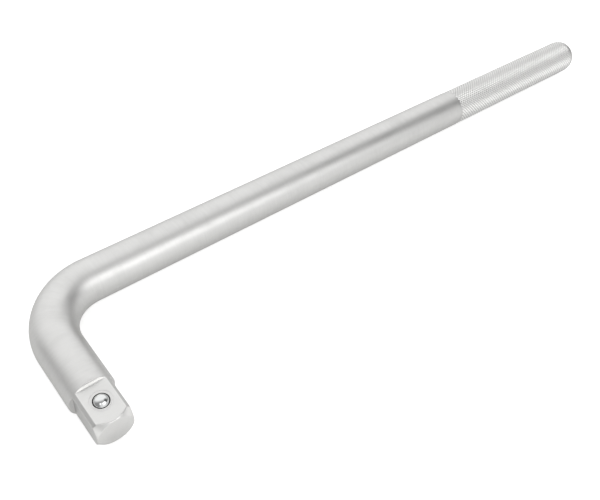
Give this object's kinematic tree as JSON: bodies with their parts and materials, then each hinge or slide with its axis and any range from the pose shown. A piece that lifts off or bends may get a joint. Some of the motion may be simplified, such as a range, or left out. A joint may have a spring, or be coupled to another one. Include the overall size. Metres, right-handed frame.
{
  "type": "l-handle wrench",
  "caption": "Round steel bar bent square, with a square socket drive and spring-loaded detent ball on the short arm and a diamond-knurled grip on the long arm.",
  "frame": {"origin": "centre of the square drive's end face", "axes": "+X along the long arm towards the grip, -Y out of the drive's end, +Z out of the flat that carries the detent ball"},
  "size_m": [0.4719, 0.0978, 0.0244],
  "materials": {
    "satin_chrome": "satin chrome plate on forged alloy steel",
    "polished_steel": "polished bearing steel",
    "spring_steel": "bare drawn spring wire"
  },
  "bodies": {
    "bar": {"bent_bar": "satin_chrome", "detent_spring": "spring_steel"},
    "ball": {"detent_ball": "polished_steel"}
  },
  "joints": [
    {"name": "ball_plunge", "type": "slide", "parent": "bar", "child": "ball", "axis": [0, 0, 1], "range_m": [-0.0023, 0], "stiffness_N_per_m": 4300, "deforming": ["detent_spring"]}
  ]
}
